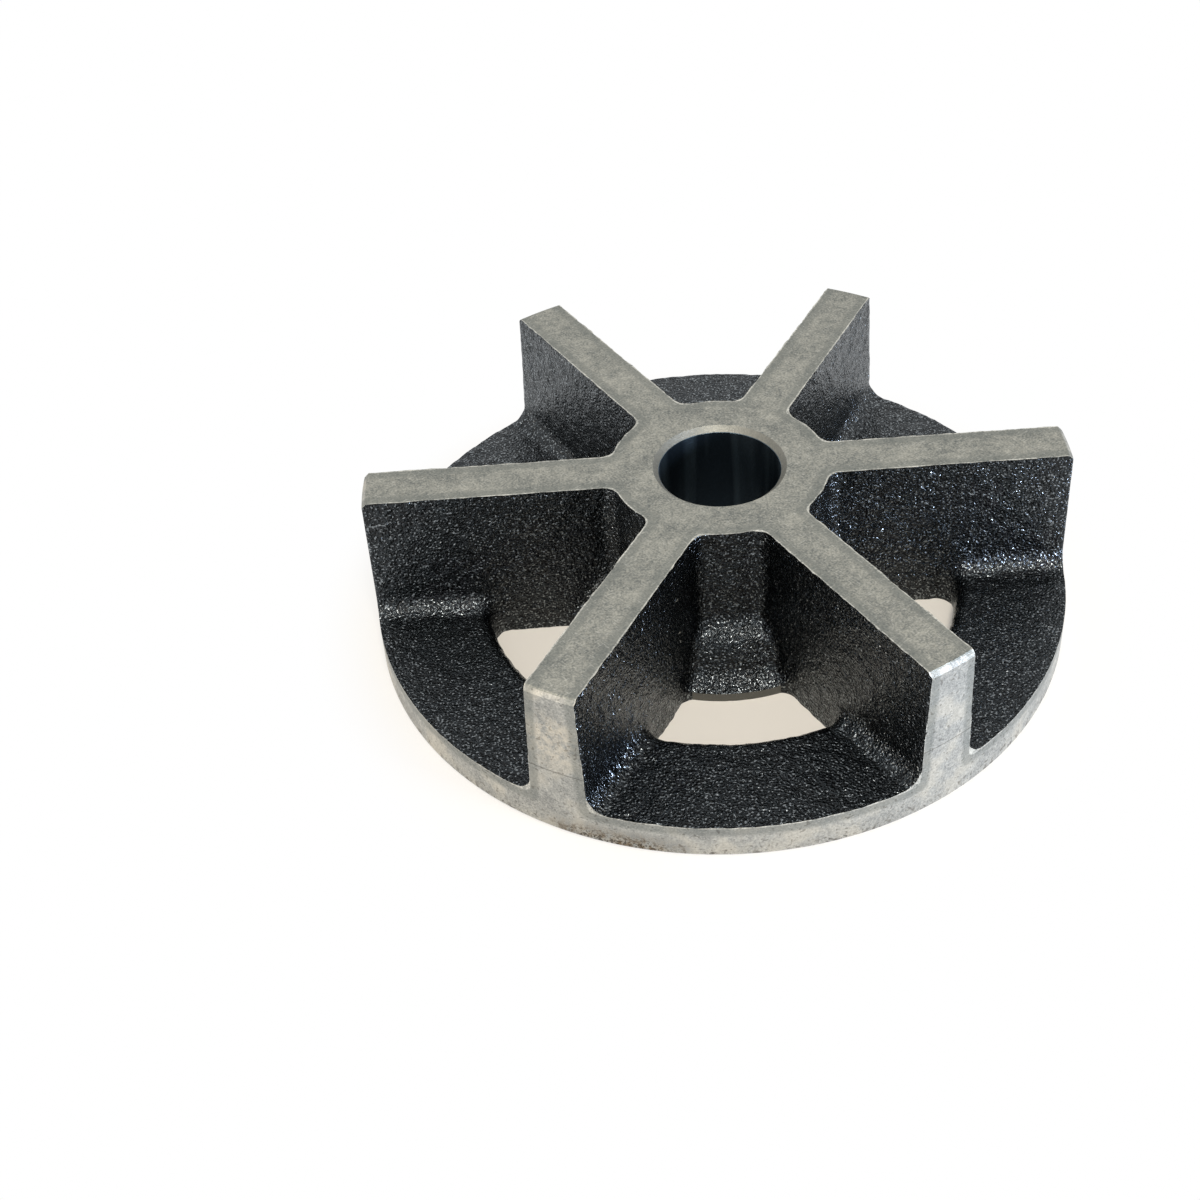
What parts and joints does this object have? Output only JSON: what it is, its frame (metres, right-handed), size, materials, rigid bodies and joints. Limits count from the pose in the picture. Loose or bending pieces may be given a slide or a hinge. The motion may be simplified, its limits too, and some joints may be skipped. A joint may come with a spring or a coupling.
{
  "type": "pump impeller",
  "caption": "Open pump impeller: a cast iron hub with a through bore, straight radial vanes and a ringed back plate with windows between the vanes; it moves liquid when its shaft turns.",
  "frame": {"origin": "centre of the bore on the machined back face", "axes": "+Z along the bore, from the back plate towards the machined vane ends; +X along one vane"},
  "size_m": [0.092, 0.092, 0.0224],
  "materials": {
    "casting": "as-cast sides, turned and faced ends, bore and rim"
  },
  "bodies": {
    "root": {"impeller": "casting"}
  },
  "joints": []
}
